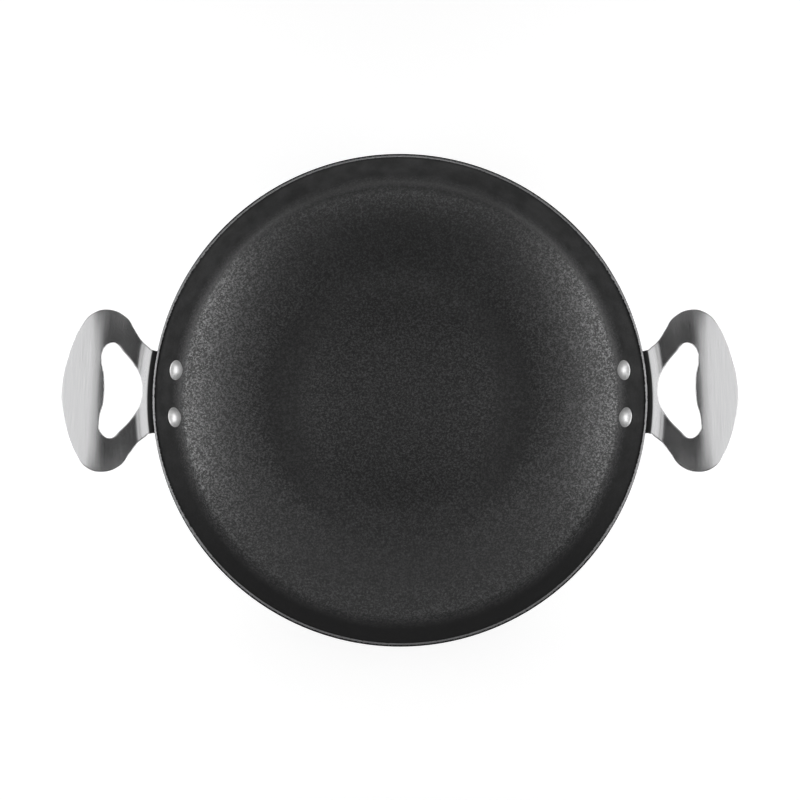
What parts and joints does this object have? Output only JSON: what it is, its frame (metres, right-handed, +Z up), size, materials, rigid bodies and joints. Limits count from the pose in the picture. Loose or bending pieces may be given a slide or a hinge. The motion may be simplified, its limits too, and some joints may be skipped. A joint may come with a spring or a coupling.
{
  "type": "saj pan",
  "caption": "Wide shallow round pan with a flat base, dished slope and steep rim band, and a looped sheet handle riveted on at each end.",
  "frame": {"origin": "centre of the flat base, on the surface that the pan rests on", "axes": "+X out through the right handle, +Y towards the top of the picture, +Z up out of the open bowl"},
  "size_m": [0.3978, 0.3, 0.0746],
  "materials": {
    "coating": "matt dark speckled non-stick coating over aluminium",
    "handle_steel": "brushed, with darker stamped edges",
    "rivet_metal": "satin"
  },
  "bodies": {
    "root": {"pan_body": "coating", "handle_left": "handle_steel", "handle_right": "handle_steel", "rivet_left_front": "rivet_metal", "rivet_left_back": "rivet_metal", "rivet_right_front": "rivet_metal", "rivet_right_back": "rivet_metal"}
  },
  "joints": []
}
